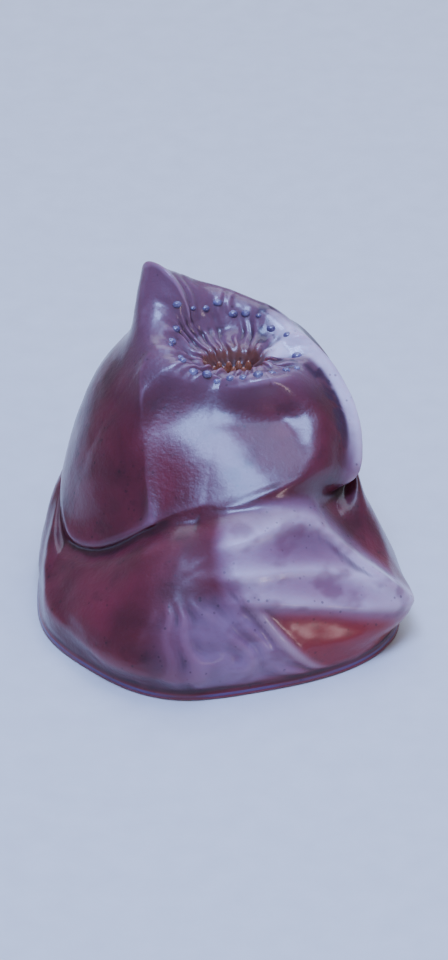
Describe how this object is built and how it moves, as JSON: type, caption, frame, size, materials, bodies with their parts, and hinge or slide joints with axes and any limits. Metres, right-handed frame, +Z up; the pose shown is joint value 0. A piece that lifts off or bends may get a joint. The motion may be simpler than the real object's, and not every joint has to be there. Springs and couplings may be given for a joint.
{
  "type": "beadlet anemone",
  "caption": "Closed, slumped sea anemone: a soft red dome on a flat foot, folded at the front and right, with a puckered mouth in a hollow inside its collar.",
  "frame": {"origin": "middle of the box round the body, at the level of the foot's flat underside", "axes": "+Z up from the foot; -Y is the front, where the collar is lowest and the camera stands; +X is the right, where the column slumps into folds"},
  "size_m": [0.0502, 0.0518, 0.0397],
  "materials": {
    "foot_flesh": "dark red-brown wet flesh with a fine blue line at the edge",
    "column_flesh": "wet, jelly-like maroon flesh, crimson where the folds thin out",
    "collar_flesh": "wet mauve flesh with small pale blue beads",
    "oral_flesh": "wet, pleated mauve to orange-brown flesh round the mouth"
  },
  "bodies": {
    "root": {"pedal_disc": "foot_flesh", "column_lower": "column_flesh", "column_middle": "column_flesh", "column_upper": "column_flesh", "collar": "collar_flesh", "oral_disc": "oral_flesh"}
  },
  "joints": []
}
